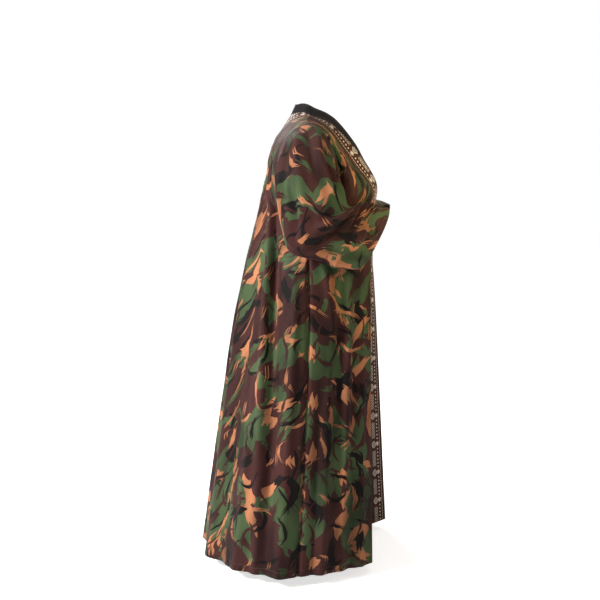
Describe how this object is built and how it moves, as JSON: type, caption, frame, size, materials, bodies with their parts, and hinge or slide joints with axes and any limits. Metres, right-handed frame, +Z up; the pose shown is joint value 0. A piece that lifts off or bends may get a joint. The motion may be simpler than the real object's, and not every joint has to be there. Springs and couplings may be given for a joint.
{
  "type": "kimono robe",
  "caption": "Full-length open robe of kimono cut in brushstroke camouflage, with wide sleeves, a printed front band and a narrow standing black collar.",
  "frame": {"origin": "midway between the wearer's shoulders, at the base of the neck, 1420 mm above the floor that the wearer stands on", "axes": "+Z up, -Y to the garment's front, -X to the wearer's right"},
  "size_m": [0.708, 0.602, 1.4029],
  "materials": {
    "camouflage": "smooth woven cotton blend, four-colour print, slight sheen",
    "print": "dark woven band with a white print",
    "black": "plain black woven cloth"
  },
  "bodies": {
    "root": {"back": "camouflage", "front_right": "camouflage", "front_left": "camouflage", "sleeve_right": "camouflage", "sleeve_left": "camouflage", "band_right": "print", "band_left": "print", "collar_band": "black"}
  },
  "joints": []
}
